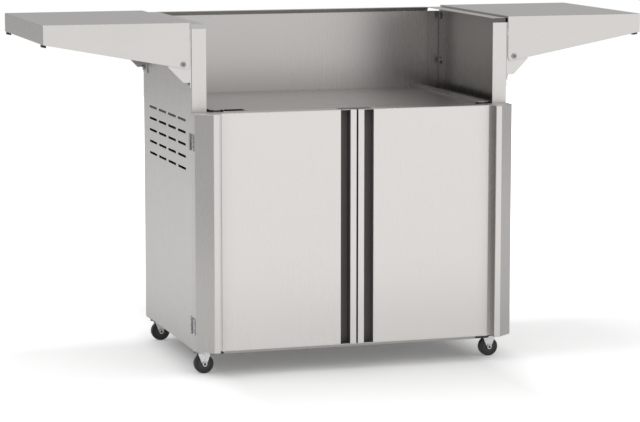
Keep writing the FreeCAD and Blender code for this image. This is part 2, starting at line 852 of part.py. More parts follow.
def side_shelf(name, side):
    """A tray with a flat top, tapering sides, hems below and a short inner flange."""
    shelf = Piece(f"shelf_{name}")
    front = -d.shelf_front
    back = shelf_rear
    skin = d.sheet
    low_outer = shelf_top - d.shelf_edge
    hem_start = shelf_inner + d.hem_inset
    toe = pivot_reach + d.boss_toe
    heel = pivot_reach - d.boss_heel
    below = pivot_height - d.pivot_boss * 2

    def lay(*points):
        return polygon(*[(across * side, up) for across, up in points])

    shelf.add(
        "XZ",
        front,
        back,
        lay(
            (shelf_inner, pivot_height),
            (shelf_inner, shelf_top),
            (shelf_outer, shelf_top),
            (shelf_outer, low_outer),
            (pivot_reach, shelf_low_edge(pivot_reach)),
            (pivot_reach, pivot_height),
        ),
    )
    shelf.add("XZ", front, back, circle(pivot_reach * side, pivot_height, d.pivot_boss))
    foot = lay(
        (heel, shelf_low_edge(heel)), (toe, shelf_low_edge(toe)), (toe, below), (heel, below)
    )
    shelf.cut("XZ", front, back, foot)
    inside = lay(
        (shelf_inner - skin, below),
        (shelf_inner - skin, shelf_top - skin),
        (shelf_outer - skin, shelf_top - skin),
        (shelf_outer - skin, low_outer + skin),
        (hem_start, shelf_low_edge(hem_start) + skin),
        (hem_start, below),
    )
    shelf.cut("XZ", front + skin, back - skin, inside)
    ends = span((hem_start - skin) * side, (shelf_outer - skin - d.end_hem) * side)
    hem = skin + d.side_hem
    mouth = rectangle(*ends, front + hem, back - hem)
    shelf.cut("XY", below, shelf_top - skin, mouth)
    flange = span(shelf_inner * side, (shelf_inner + skin) * side)
    flange_bottom = shelf_top - d.shelf_flange
    shelf.add("XY", flange_bottom, shelf_top, rectangle(*flange, front, back))
    hole = circle(pivot_reach * side, pivot_height, d.pivot_shank + d.pin_fit)
    shelf.cut("XZ", front, front + skin, hole)
    shelf.cut("XZ", back - skin, back, hole)
    shelf.bend("Y", (shelf_outer * side, shelf_top))
    shelf.bend("X", (front, shelf_top), (back, shelf_top))


def shelf_pivots(name, side):
    """The pivot screws of a shelf: head outside the skirt, shank through the wing."""
    screws = Piece(f"shelf_pivots_{name}")
    across = pivot_reach * side
    outside = (-d.shelf_front, shelf_rear)
    wing_faces = (d.wing_front, wing_rear)
    for skirt, wing, out in zip(outside, wing_faces, (-1, 1)):
        head = span(skirt, skirt + d.pivot_head_height * out)
        shank = span(skirt, wing - (d.heavy_sheet + d.sheet) * out)
        screws.add("XZ", *head, circle(across, pivot_height, d.pivot_head))
        screws.add("XZ", *shank, circle(across, pivot_height, d.pivot_shank))


def shelf_bumpers(name, side):
    """Rubber buffers under a shelf's outer end that meet the cabinet when it folds."""
    pads = Piece(f"shelf_bumpers_{name}")
    outer = shelf_outer - d.seam
    inner = outer - d.bumper_length
    outline = [
        (inner, shelf_low_edge(inner)),
        (outer, shelf_low_edge(outer)),
        (outer, shelf_low_edge(outer) - d.bumper_drop),
        (inner, shelf_low_edge(inner) - d.bumper_drop),
    ]
    first = d.bumper_inset - d.shelf_front
    last = shelf_rear - d.bumper_inset
    for start, end in ((first, first + d.bumper_width), (last - d.bumper_width, last)):
        loop = polygon(*[(across * side, up) for across, up in outline])
        pads.add("XZ", start, end, loop)


# Casters, each in its own frame: X from the swivel towards the axle, Z up from the floor


def caster_plates(centres):
    """The four top plates, each with its swivel race and the pin that carries the fork."""
    plates = Piece("caster_plates")
    across = d.plate_length / 2
    along = d.plate_width / 2
    pin_end = crown_under - d.fork_sheet
    for x, y in centres:
        outline = rectangle(x - across, x + across, y - along, y + along)
        plates.add("XY", plate_under, panel_bottom, outline)
        plates.add("XY", fork_top + d.seam, plate_under, circle(x, y, d.race_radius))
        plates.add("XY", crown_under - d.seam, fork_top + d.seam, circle(x, y, d.kingpin_radius))
    nuts = [nut(x, y, d.kingpin_nut) for x, y in centres]
    plates.add("XY", d.wheel_radius * 2 + d.seam, crown_under - d.seam, *nuts)


def caster_screws(centres):
    """The screws that hold the caster plates, sixteen alike."""
    screws = Piece("caster_screws")
    heads = [
        nut(x + d.screw_across * one, y + d.screw_along * other, d.screw_head)
        for x, y in centres
        for one in (-1, 1)
        for other in (-1, 1)
    ]
    screws.add("XY", plate_under - d.screw_height, plate_under, *heads)


def caster_fork(name, place):
    """A fork of bent sheet, its legs tapering to the axle bolt that it carries."""
    fork = Piece(f"caster_fork_{name}", **place)
    trail = d.caster_trail
    shoulder = crown_under - d.fork_sheet
    leg = [
        (trail - d.leg_half, fork_top),
        (trail + d.leg_half, fork_top),
        (trail + d.leg_half, shoulder),
        (trail + d.leg_tip, d.wheel_radius),
        (trail + d.leg_tip / 2, d.wheel_radius - d.leg_tip),
        (trail - d.leg_tip / 2, d.wheel_radius - d.leg_tip),
        (trail - d.leg_tip, d.wheel_radius),
        (trail - d.leg_half, shoulder),
    ]
    half = d.fork_half
    within = half - d.fork_sheet
    fork.add("XZ", -half, half, polygon(*leg))
    reach = trail + d.leg_half * 2
    fork.cut("XZ", -within, within, rectangle(-reach, reach, 0, crown_under))
    crown = nut(0, 0, (d.kingpin_radius + d.seam) * 2, 8)
    fork.cut("XY", crown_under, fork_top, crown)
    axle = (trail, d.wheel_radius)
    fork.add("XZ", -within, within, circle(*axle, d.axle_radius))
    fork.add("XZ", half, half + d.axle_nut_height, nut(*axle, d.axle_nut))
    fork.add("XZ", -half - d.axle_nut_height, -half, nut(*axle, d.axle_nut))


def caster_wheel(name, place, turned_sign):
    """A solid rubber wheel turned about its axle."""
    wheel = Piece(
        f"caster_wheel_{name}",
        x=place["x"] + d.caster_trail * turned_sign,
        y=place["y"],
        z=d.wheel_radius,
    )
    half = d.wheel_width / 2
    bore = d.axle_radius + d.pin_fit
    outline = [
        (-half, bore),
        (-half, d.wheel_radius - d.wheel_crown),
        (0, d.wheel_radius),
        (half, d.wheel_radius - d.wheel_crown),
        (half, bore),
    ]
    wheel.spin("YZ", "H_Axis", polygon(*outline))


def build_casters():
    """Plates, forks and wheels at the four corners."""
    centres = []
    rows = (("front", d.caster_front), ("rear", d.cabinet_depth - d.caster_rear))
    for row, along in rows:
        for name, side in SIDES:
            corner = f"{row}_{name}"
            centres.append((caster_reach * side, along))
            place = dict(x=caster_reach * side, y=cabinet_front + along, turned=side > 0)
            caster_fork(corner, place)
            caster_wheel(corner, place, -side)
    caster_plates(centres)
    caster_screws(centres)


# The whole cart

for name, side in SIDES:
    side_panel(name, side)
    deck_support(name, side)
    door_column(name, side)
    door_panel(name, side)
    door_pull(name, side)
    door_liner(name, side)
    strike_plate(name, side)
    hinge_leaves(f"hinge_fixed_{name}", side, True)
    hinge_leaves(f"hinge_moving_{name}", side, False)
    shelf_bracket(f"shelf_bracket_front_{name}", side, False)
    shelf_bracket(f"shelf_bracket_rear_{name}", side, True)
    side_shelf(name, side)
    shelf_pivots(name, side)
    shelf_bumpers(name, side)
back_panel()
rear_panel()
deck()
base_pan()
door_catches()
bracket_bolts()
bracket_nuts()
build_casters()

doc.recompute()

faults = [
    item.Name for item in doc.Objects if {"Invalid", "Error"} & set(item.State)
]
faults += [
    piece.Label for piece in pieces if piece.Shape.isNull() or not piece.Shape.isValid()
]
if faults:
    raise RuntimeError(f"these did not build: {faults}")

os.makedirs("parts", exist_ok=True)
for piece in pieces:
    piece.Shape.exportStep(f"parts/{piece.Label}.step")
print(f"{len(pieces)} pieces written")
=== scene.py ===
# %% [markdown]
# A grill cart with storage, dressed for a picture. The solids of the cart come in as a
# fixed frame, already in place and at real size, in metres. What is left to do here is
# what a finisher does: choose the metals, plastics and rubber, add the small hardware,
# and light the cart the way a shop photograph would.

# %% Load the frame
import math

import bmesh
import bpy
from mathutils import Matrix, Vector


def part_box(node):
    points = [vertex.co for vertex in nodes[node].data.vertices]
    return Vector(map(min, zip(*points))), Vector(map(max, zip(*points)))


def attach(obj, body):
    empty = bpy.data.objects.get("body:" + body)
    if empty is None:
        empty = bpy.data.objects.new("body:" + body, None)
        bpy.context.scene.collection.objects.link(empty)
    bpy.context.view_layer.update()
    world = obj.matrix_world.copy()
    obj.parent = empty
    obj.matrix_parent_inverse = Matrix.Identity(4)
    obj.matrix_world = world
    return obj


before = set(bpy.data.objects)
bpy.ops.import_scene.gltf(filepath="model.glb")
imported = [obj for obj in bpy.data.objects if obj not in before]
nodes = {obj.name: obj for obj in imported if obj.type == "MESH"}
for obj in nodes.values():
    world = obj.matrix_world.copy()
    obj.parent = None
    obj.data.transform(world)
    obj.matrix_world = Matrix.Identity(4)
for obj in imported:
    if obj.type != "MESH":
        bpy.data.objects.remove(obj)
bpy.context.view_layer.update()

# %% [markdown]
# The photograph was taken from the front left with a long lens, a little above the
# shelves. A long lens keeps the upright edges nearly parallel, so the cart reads like a
# drawing. The place and the lens were solved from corners of the cart whose places are
# known, which is surer than moving a camera by eye.

# %% Camera
CAMERA_PLACE = (-1.9729, -6.2862, 1.3080)
CAMERA_TIP = 8.073
CAMERA_TURN = 17.297
IMAGE_WIDTH = 640
FOCAL_PIXELS = 2519.4
SENSOR = 36.0

lens = bpy.data.cameras.new("photo_camera")
lens.sensor_width = SENSOR
lens.lens = FOCAL_PIXELS / IMAGE_WIDTH * SENSOR
lens.clip_end = 100.0
camera = bpy.data.objects.new("photo_camera", lens)
camera.location = CAMERA_PLACE
camera.rotation_euler = (math.radians(90 - CAMERA_TIP), 0.0, math.radians(-CAMERA_TURN))
bpy.context.scene.collection.objects.link(camera)
bpy.context.scene.camera = camera
print("lens:", round(lens.lens, 1), "mm")

# %% [markdown]
# Bare metal has almost no colour of its own: it shows the room. The room is a soft white
# studio whose brightest wall stands ahead and to the right, so the doors mirror it and
# shine, while the sides and the chamfers mirror the quieter walls. Where two sheets meet
# in a corner the light bounces twice and comes back the way it went in, so a studio
# keeps a darker gap at the front left, and corners and channels get their depth from it.
#
# The walls were set to this one photograph, so they are no measured room. The camera, and
# a ray through glass, see plain white. A mirror ray sees three tenths of that white and
# seven tenths of the room. The usual rule is to let metal see all of the white. It was
# not followed here, because the metal then loses its dark faces.

# %% Studio walls
KEY_SIDE = (0.42, -0.91, 0.0)
DARK_SIDE = (-0.31, -0.95, 0.0)
WALL_LEVELS = ((0.0, 0.28), (0.25, 0.40), (0.52, 0.38), (0.72, 0.55), (0.9, 1.22), (1.0, 1.38))
WHITE_SHARE = 0.3
DARK_LEVEL = 0.34
DARK_REACH = (0.93, 0.985)


def link(tree, source, target):
    tree.links.new(source, target)


def spread(tree, value, start, end, low, high):
    """Carry a value from one range to another, held at both ends."""
    step = tree.nodes.new("ShaderNodeMapRange")
    for name, number in (
        ("From Min", start),
        ("From Max", end),
        ("To Min", low),
        ("To Max", high),
    ):
        step.inputs[name].default_value = number
    link(tree, value, step.inputs["Value"])
    return step.outputs["Result"]


def towards(tree, direction, side):
    """How far a direction turns towards a side, from -1 to 1."""
    product = tree.nodes.new("ShaderNodeVectorMath")
    product.operation = "DOT_PRODUCT"
    link(tree, direction, product.inputs[0])
    product.inputs[1].default_value = side
    return product.outputs["Value"]


def maths(tree, operation, one, other):
    """One arithmetic node, for two values or a value and a number."""
    step = tree.nodes.new("ShaderNodeMath")
    step.operation = operation
    for socket, value in zip(step.inputs, (one, other)):
        if isinstance(value, (int, float)):
            socket.default_value = value
        else:
            link(tree, value, socket)
    return step.outputs[0]


def camera_or_glass(tree, eye):
    """1 for a ray from the camera or through glass."""
    return maths(tree, "MAXIMUM", eye.outputs["Is Camera Ray"], eye.outputs["Is Transmission Ray"])


def studio_walls():
    """World light by direction, with a share of the white background for metal."""
    world = bpy.data.worlds.new("studio")
    bpy.context.scene.world = world
    world.use_nodes = True
    tree = world.node_tree
    tree.nodes.clear()
    place = tree.nodes.new("ShaderNodeTexCoord").outputs["Generated"]
    ramp = tree.nodes.new("ShaderNodeValToRGB")
    turn = spread(tree, towards(tree, place, KEY_SIDE), -1.0, 1.0, 0.0, 1.0)
    link(tree, turn, ramp.inputs["Fac"])
    ramp.color_ramp.elements[0].position = WALL_LEVELS[0][0]
    ramp.color_ramp.elements[1].position = WALL_LEVELS[-1][0]
    for position, level in WALL_LEVELS[1:-1]:
        ramp.color_ramp.elements.new(position)
    for stop, (position, level) in zip(ramp.color_ramp.elements, WALL_LEVELS):
        stop.color = (level, level, level, 1.0)
    room = tree.nodes.new("ShaderNodeBackground")
    link(tree, ramp.outputs["Color"], room.inputs["Color"])
    gap = spread(tree, towards(tree, place, DARK_SIDE), *DARK_REACH, 1.0, DARK_LEVEL)
    link(tree, gap, room.inputs["Strength"])
    paper = tree.nodes.new("ShaderNodeBackground")
    paper.inputs["Color"].default_value = (1.0, 1.0, 1.0, 1.0)
    paper.inputs["Strength"].default_value = 1.0
    eye = tree.nodes.new("ShaderNodeLightPath")
    choose = tree.nodes.new("ShaderNodeMixShader")
    out = tree.nodes.new("ShaderNodeOutputWorld")
    shiny = maths(tree, "MULTIPLY", eye.outputs["Is Glossy Ray"], WHITE_SHARE)
    clear = camera_or_glass(tree, eye)
    link(tree, maths(tree, "MAXIMUM", clear, shiny), choose.inputs["Fac"])
    link(tree, room.outputs[0], choose.inputs[1])
    link(tree, paper.outputs[0], choose.inputs[2])
    link(tree, choose.outputs[0], out.inputs["Surface"])


studio_walls()
print("world levels:", [level for position, level in WALL_LEVELS])

# %% [markdown]
# The floor is a long sheet of white paper. It starts a little in front of the cart and
# runs far behind it, as a paper roll does in a studio, so the cart's sides mirror paper
# while the shelf ends mirror the quiet room beyond it. The paper has to look as white as
# the background and still take the cart's shadow, so it is a pale matte surface with a
# little glow. The glow is least under the cabinet and grows past its edges, where the
# shadow ends. Each ramp below has a start, an end and a strength, and all were fitted to
# the photograph: the shadow is partly drawn, and for another picture they are set anew.

# %% Paper floor
FLOOR_FRONT = -1.2
FLOOR_BACK = 7.0
FLOOR_HALF_WIDTH = 4.2
FLOOR_TONE = 0.92
METAL_GLOW = 0.28
CORE_GLOW = 0.10
LEFT_GLOW = (0.33, 0.45, 0.21)
RIGHT_GLOW = (0.33, 0.48, 0.31)
EDGE_GLOW = (0.17, 0.28, 0.06)
FRONT_GLOW = (0.28, 0.75, 0.16)
REAR_GLOW = (0.20, 0.45, 0.28)
FAR_GLOW = (0.8, 2.2, 0.6)


def length_of(tree, vector):
    """The length of a vector."""
    step = tree.nodes.new("ShaderNodeVectorMath")
    step.operation = "LENGTH"
    link(tree, vector, step.inputs[0])
    return step.outputs["Value"]


def along_axes(tree):
    """The three coordinates of a point, in the piece's own frame at rest."""
    place = tree.nodes.new("ShaderNodeTexCoord")
    split = tree.nodes.new("ShaderNodeSeparateXYZ")
    link(tree, place.outputs["Object"], split.inputs["Vector"])
    return split.outputs


def paper_glow(tree, eye):
    """How strongly the paper glows at a point, for the eye and for shiny metal."""
    place = tree.nodes.new("ShaderNodeTexCoord").outputs["Object"]
    x, y, z = along_axes(tree)
    ahead = maths(tree, "MULTIPLY", y, -1.0)
    total = CORE_GLOW
    for value, (start, end, level) in (
        (maths(tree, "MULTIPLY", x, -1.0), LEFT_GLOW),
        (x, RIGHT_GLOW),
        (ahead, EDGE_GLOW),
        (ahead, FRONT_GLOW),
        (y, REAR_GLOW),
        (length_of(tree, place), FAR_GLOW),
    ):
        total = maths(tree, "ADD", spread(tree, value, start, end, 0.0, level), total)
    seen = maths(tree, "MULTIPLY", total, eye.outputs["Is Camera Ray"])
    mirrored = maths(tree, "MULTIPLY", eye.outputs["Is Glossy Ray"], METAL_GLOW)
    return maths(tree, "ADD", seen, mirrored)


def white_paper():
    """Matte paper that also glows for the camera, for glass and for metal."""
    paper = bpy.data.materials.new("white_paper")
    paper.use_nodes = True
    tree = paper.node_tree
    tree.nodes.clear()
    eye = tree.nodes.new("ShaderNodeLightPath")
    matte = tree.nodes.new("ShaderNodeBsdfDiffuse")
    matte.inputs["Color"].default_value = (FLOOR_TONE, FLOOR_TONE, FLOOR_TONE, 1.0)
    glow = tree.nodes.new("ShaderNodeEmission")
    link(tree, paper_glow(tree, eye), glow.inputs["Strength"])
    both = tree.nodes.new("ShaderNodeAddShader")
    link(tree, matte.outputs[0], both.inputs[0])
    link(tree, glow.outputs[0], both.inputs[1])
    seen = maths(tree, "MAXIMUM", camera_or_glass(tree, eye), eye.outputs["Is Glossy Ray"])
    choose = tree.nodes.new("ShaderNodeMixShader")
    out = tree.nodes.new("ShaderNodeOutputMaterial")
    link(tree, seen, choose.inputs["Fac"])
    link(tree, matte.outputs[0], choose.inputs[1])
    link(tree, both.outputs[0], choose.inputs[2])
    link(tree, choose.outputs[0], out.inputs["Surface"])
    return paper


def paper_floor():
    """The sheet under the cart that fades into the white room."""
    mesh = bpy.data.meshes.new("paper_floor")
    shape = bmesh.new()
    corners = [
        shape.verts.new((x, y, 0.0))
        for x, y in (
            (-FLOOR_HALF_WIDTH, FLOOR_FRONT),
            (FLOOR_HALF_WIDTH, FLOOR_FRONT),
            (FLOOR_HALF_WIDTH, FLOOR_BACK),
            (-FLOOR_HALF_WIDTH, FLOOR_BACK),
        )
    ]
    shape.faces.new(corners)
    shape.to_mesh(mesh)
    shape.free()
    floor = bpy.data.objects.new("paper_floor", mesh)
    bpy.context.scene.collection.objects.link(floor)
    mesh.materials.append(white_paper())


paper_floor()
print("paper:", 2 * FLOOR_HALF_WIDTH, "x", round(FLOOR_BACK - FLOOR_FRONT, 2), "m")

# %% [markdown]
# One large soft lamp hangs overhead. It fills the paper with light and draws the soft
# dark patch under the cabinet. The metal hardly shows it, because its upright faces
# mirror the walls and not the ceiling.

# %% Overhead lamp
LAMP_SIZE = 3.6
LAMP_PLACE = (-1.6, -0.2, 3.1)
LAMP_POWER = 48.0

panel = bpy.data.lights.new("overhead_panel", "AREA")
panel.shape = "SQUARE"
panel.size = LAMP_SIZE
panel.energy = LAMP_POWER
lamp = bpy.data.objects.new("overhead_panel", panel)
lamp.location = LAMP_PLACE
lamp.rotation_euler = (0.0, math.atan2(LAMP_PLACE[0], LAMP_PLACE[2]), 0.0)
bpy.context.scene.collection.objects.link(lamp)
bpy.context.scene.view_settings.view_transform = "Standard"
print("lamp:", LAMP_POWER, "W")

# %% [markdown]
# A finish is a small network: noise for the scratches or the grain, a few sums to bring
# that noise into a useful range, and a shader. The helpers below each add one such step,
# so that a finish can be read from top to bottom like a recipe.

# %% Steps that the finishes share
FOLD_RADIUS = 0.0016
LOW_SHADE_HEIGHTS = (0.06, 0.46)
NOISE_MIDDLE = (0.35, 0.65)
EDGE_TURN = (0.9, 0.999)
OPEN_SHARE = (0.1, 0.95)


def new_material(name):
    """An empty node material with its shader ready."""
    material = bpy.data.materials.new(name)
    material.use_nodes = True
    tree = material.node_tree
    return material, tree, tree.nodes["Principled BSDF"]


def stretched_noise(tree, scale, detail=3.0):
    """Noise in the piece's own space, stretched by a scale for each axis."""
    place = tree.nodes.new("ShaderNodeTexCoord")
    squeeze = tree.nodes.new("ShaderNodeMapping")
    squeeze.inputs["Scale"].default_value = scale
    noise = tree.nodes.new("ShaderNodeTexNoise")
    noise.inputs["Scale"].default_value = 1.0
    noise.inputs["Detail"].default_value = detail
    link(tree, place.outputs["Object"], squeeze.inputs["Vector"])
    link(tree, squeeze.outputs["Vector"], noise.inputs["Vector"])
    return noise.outputs["Fac"]


def between(tree, noise, low, high):
    """Spread the middle of a noise over a range."""
    return spread(tree, noise, *NOISE_MIDDLE, low, high)


def mix_colours(tree, share, one, other, blend="MIX"):
    """Blend two colours, each a plain colour or the output of a step, by a value."""
    step = tree.nodes.new("ShaderNodeMix")
    step.data_type = "RGBA"
    step.blend_type = blend
    if isinstance(share, (int, float)):
        step.inputs["Factor"].default_value = share
    else:
        link(tree, share, step.inputs["Factor"])
    for socket, value in ((step.inputs[6], one), (step.inputs[7], other)):
        if isinstance(value, (tuple, list)):
            socket.default_value = (*value, 1.0)
        else:
            link(tree, value, socket)
    return step.outputs[2]


def bump(tree, shader, height, strength, depth, under=None):
    """Press a height into the surface, over a softened normal where there is one."""
    relief = tree.nodes.new("ShaderNodeBump")
    relief.inputs["Strength"].default_value = strength
    relief.inputs["Distance"].default_value = depth
    link(tree, height, relief.inputs["Height"])
    if under is not None:
        link(tree, under, relief.inputs["Normal"])
    link(tree, relief.outputs["Normal"], shader.inputs["Normal"])


def soft_edges(tree, radius):
    """A normal rounded at the folds, and a share that is 1 at folds and cut edges."""
    bevel = tree.nodes.new("ShaderNodeBevel")
    bevel.inputs["Radius"].default_value = radius
    bevel.samples = 4
    face = tree.nodes.new("ShaderNodeNewGeometry")
    product = tree.nodes.new("ShaderNodeVectorMath")
    product.operation = "DOT_PRODUCT"
    link(tree, bevel.outputs["Normal"], product.inputs[0])
    link(tree, face.outputs["Normal"], product.inputs[1])
    share = spread(tree, product.outputs["Value"], *EDGE_TURN, 1.0, 0.0)
    return bevel.outputs["Normal"], share


def corner_shade(tree, reach, depth):
    """Painted shade: near 1 in the open, falling towards 1 - depth deep in channels and corners.
    """
    hollow = tree.nodes.new("ShaderNodeAmbientOcclusion")
    hollow.samples = 6
    hollow.inputs["Distance"].default_value = reach
    return spread(tree, hollow.outputs["AO"], *OPEN_SHARE, 1.0 - depth, 1.0)


def low_painted_shade(tree, depth):
    """Painted shade: 1 up high and falling to 1 - depth near the ground."""
    x, y, z = along_axes(tree)
    return spread(tree, z, *LOW_SHADE_HEIGHTS, 1.0 - depth, 1.0)


print("fold radius:", FOLD_RADIUS * 1000, "mm")

# %% [markdown]
# Stainless sheet is ground with a fine belt, which leaves thousands of parallel
# scratches. They are far too fine to model, so a stretched noise drives the roughness
# and a very shallow bump, and the shader smears reflections across the scratches, as
# real ground sheet does. Folded corners are not sharp: a bevelled normal rounds them for
# the light, and the same bevel finds the edges, which are made lighter: partly wear from
# handling, partly a painted highlight. Corners and channels get a little painted shade.
#
# The real sheet is most likely one steel throughout. Each piece has its own tone here,
# matched by trial to the photograph: painted shade that makes up for light this studio
# doesn't give. The corner shade and the darkening towards the floor are painted shade
# too. They are stand-ins, not facts about the steel.

# %% Brushed steel
STEEL_TONE = (0.604, 0.587, 0.569)
PAINTED_SHADE_TONE = (0.055, 0.052, 0.049)
GRAIN_FINE = 900.0
GRAIN_LONG = 5.0
GRAIN_SMEAR = 0.3
GRAIN_ROUGHNESS = (0.272, 0.288)
GRAIN_BUMP = 0.0045
GRAIN_DEPTH = 0.0002
CLOUD_SIZE = (3.0, 3.0, 3.0)
CLOUD_ROUGHNESS = 0.01
CLOUD_DULLS = 0.98
EDGE_BRIGHTENS = 1.12
SHADE_ROUGHENS = 0.35


def brushed_steel(name, grain, reach, depth, tone=1.0, dust_and_shade=0.0, tinted_shade=None, matt_shade=None):
    """Belt-ground sheet whose scratches run along one axis of the cart.

    Tinted shade darkens the metal and leaves it a metal; matt shade hides it under a dark
    matt coat. Both are painted shade.
    """
    material, tree, shader = new_material(name)
    scale = [GRAIN_FINE] * 3
    scale["XYZ".index(grain)] = GRAIN_LONG
    scratches = stretched_noise(tree, scale)
    cloud = stretched_noise(tree, CLOUD_SIZE, 4.0)
    rounded, edge = soft_edges(tree, FOLD_RADIUS)
    plain = [part * tone for part in STEEL_TONE]
    dull = [part * CLOUD_DULLS for part in plain]
    bright = [min(1.0, part * EDGE_BRIGHTENS) for part in plain]
    body = mix_colours(tree, between(tree, cloud, 0.0, 1.0), dull, plain)
    # Folds and cut edges lighter: wear from handling and a painted highlight.
    wear_and_highlight = mix_colours(tree, edge, body, bright)
    shade = corner_shade(tree, reach, depth)
    # Darker towards the floor: painted shade against the light off the floor.
    if dust_and_shade:
        shade = maths(tree, "MULTIPLY", shade, low_painted_shade(tree, dust_and_shade))
    colour = mix_colours(tree, 1.0, wear_and_highlight, shade, "MULTIPLY")
    if tinted_shade:
        colour = mix_colours(tree, tinted_shade(tree), colour, PAINTED_SHADE_TONE)
    fine = between(tree, scratches, *GRAIN_ROUGHNESS)
    broad = between(tree, cloud, -CLOUD_ROUGHNESS, CLOUD_ROUGHNESS)
    rough = maths(tree, "ADD", fine, broad)
    shader.inputs["Metallic"].default_value = 1.0
    if matt_shade:
        cover = matt_shade(tree)
        colour = mix_colours(tree, cover, colour, PAINTED_SHADE_TONE)
        rough = maths(tree, "ADD", rough, maths(tree, "MULTIPLY", cover, SHADE_ROUGHENS))
        link(tree, maths(tree, "SUBTRACT", 1.0, cover), shader.inputs["Metallic"])
    link(tree, colour, shader.inputs["Base Color"])
    link(tree, rough, shader.inputs["Roughness"])
    shader.inputs["Anisotropic"].default_value = GRAIN_SMEAR
    along = tree.nodes.new("ShaderNodeTangent")
    along.direction_type = "RADIAL"
    along.axis = grain
    link(tree, along.outputs["Tangent"], shader.inputs["Tangent"])
    bump(tree, shader, scratches, GRAIN_BUMP, GRAIN_DEPTH, rounded)
    return material


# Each tone below sets how dark one copy of the same steel is: painted shade for that piece.
wall_steel = brushed_steel("wall_steel", "Z", 0.15, 0.40, tone=0.95, dust_and_shade=0.22)
back_steel = brushed_steel("back_steel", "Z", 0.10, 0.20, tone=0.71)
deck_steel = brushed_steel("deck_steel", "X", 0.20, 0.42, tone=0.78)
shelf_steel = brushed_steel("shelf_steel", "Y", 0.05, 0.40, tone=0.91)
print("steels:", wall_steel.name, back_steel.name, deck_steel.name, shelf_steel.name)

# %% [markdown]
# Three places are darker in the photograph than this studio makes them: the slanted
# strips at the doors' outer edges, more so towards the foot, the finger channels, and
# whatever lies behind the top row of vents. Nothing in the photograph shows what they
# are coated with, if anything. So painted shade stands in for the missing shade: a grey
# tint that leaves the metal a metal, and a dark matt coat. Each is laid by the place of
# a point in the cart, not by the camera.

# %% Steel with painted shade
CHANNEL_HALF = 0.0455
CHANNEL_WALL = 0.0433
WALL_SHADE_SHARE = 0.6
CHANNEL_SHADE_SHARE = 0.87
CHANNEL_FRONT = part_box("door_panel_right")[0].y + 0.0012
GUTTER_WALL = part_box("deck_support_right")[1].x - 0.0004
CHAMFER_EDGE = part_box("door_column_right")[1].x - 0.0398
CHAMFER_SHADE_HEIGHTS = (0.06, 0.50)
CHAMFER_SHADE_WEIGHTS = (0.31, 0.07)


def places(tree):
    """How far a point lies from the cart's middle plane, how far back and how high."""
    x, y, z = along_axes(tree)
    return maths(tree, "ABSOLUTE", x, 0.0), y, z


def chamfer_shade(tree):
    """Painted shade on the slanted strip of a door, darker towards the foot, 0 on the narrow front
    beside it.
    """
    aside, back, up = places(tree)
    slanted = spread(tree, aside, CHAMFER_EDGE, CHAMFER_EDGE + 0.0004, 0.0, 1.0)
    weight = spread(tree, up, *CHAMFER_SHADE_HEIGHTS, *CHAMFER_SHADE_WEIGHTS)
    return maths(tree, "MULTIPLY", slanted, weight)


def channel_shade(tree):
    """Painted shade: nearly 1 inside the two finger channels, less on their outer wall, 0
    elsewhere.
    """
    aside, back, up = places(tree)
    middle = spread(tree, aside, CHANNEL_HALF, CHANNEL_HALF + 0.0005, 1.0, 0.0)
    outer = spread(tree, aside, CHANNEL_WALL - 0.0005, CHANNEL_WALL, 1.0, WALL_SHADE_SHARE)
    behind = spread(tree, back, CHANNEL_FRONT, CHANNEL_FRONT + 0.002, 0.0, CHANNEL_SHADE_SHARE)
    return maths(tree, "MULTIPLY", maths(tree, "MULTIPLY", middle, outer), behind)


def gutter_shade(tree):
    """Painted shade: 1 on the outer wall of the gutter, 0 on the rest of it."""
    aside, back, up = places(tree)
    return spread(tree, aside, GUTTER_WALL - 0.0002, GUTTER_WALL, 0.0, 1.0)


# Painted shade on the slanted strips, the finger channels and the gutter wall, and in each tone.
column_steel = brushed_steel("column_steel", "Z", 0.045, 0.20, tone=0.97, tinted_shade=chamfer_shade)
door_steel = brushed_steel("door_steel", "Z", 0.045, 0.35, matt_shade=channel_shade)
gutter_steel = brushed_steel("gutter_steel", "Y", 0.15, 0.40, tone=0.93, matt_shade=gutter_shade)
print("chamfer edge:", round(CHAMFER_EDGE, 4))
print("channel front:", round(CHANNEL_FRONT, 4), "gutter wall:", round(GUTTER_WALL, 4))

# %% [markdown]
# The small hardware is bright steel and zinc plate. Zinc is bluer and a little cloudy,
# with a fine sparkle, so its colour and roughness wander over a few millimetres. The
# pivots are greyer in the photograph, so they take a duller tone. What sits in the corners
# and under the cabinet takes a darker zinc still: painted shade.

# %% Plated hardware
ZINC_TONE = (0.66, 0.665, 0.675)
SCREW_TONE = (0.50, 0.50, 0.50)
PIVOT_TONE = (0.34, 0.335, 0.33)
# A darker zinc for pieces in corners and under the cabinet: painted shade.
SHADED_ZINC_TONE = (0.20, 0.20, 0.205)
PLATE_CLOUD = (240.0, 240.0, 240.0)
PLATE_DULLS = 0.82
PLATE_BRIGHTENS = 1.15
PLATE_SHADE = (0.02, 0.6)
PLATE_BUMP = (0.1, 0.0002)


def plated_steel(name, tone, roughness):
    """Plated or turned small hardware."""
    material, tree, shader = new_material(name)
    cloud = stretched_noise(tree, PLATE_CLOUD, 4.0)
    rounded, edge = soft_edges(tree, FOLD_RADIUS / 4)
    dull = [part * PLATE_DULLS for part in tone]
    bright = [min(1.0, part * PLATE_BRIGHTENS) for part in tone]
    body = mix_colours(tree, between(tree, cloud, 0.0, 1.0), dull, tone)
    # Edges lighter: wear from handling and a painted highlight.
    wear_and_highlight = mix_colours(tree, edge, body, bright)
    shade = corner_shade(tree, *PLATE_SHADE)
    link(tree, mix_colours(tree, 1.0, wear_and_highlight, shade, "MULTIPLY"), shader.inputs["Base Color"])
    rough = between(tree, cloud, roughness + 0.08, roughness - 0.06)
    link(tree, rough, shader.inputs["Roughness"])
    shader.inputs["Metallic"].default_value = 1.0
    bump(tree, shader, cloud, *PLATE_BUMP, rounded)
    return material


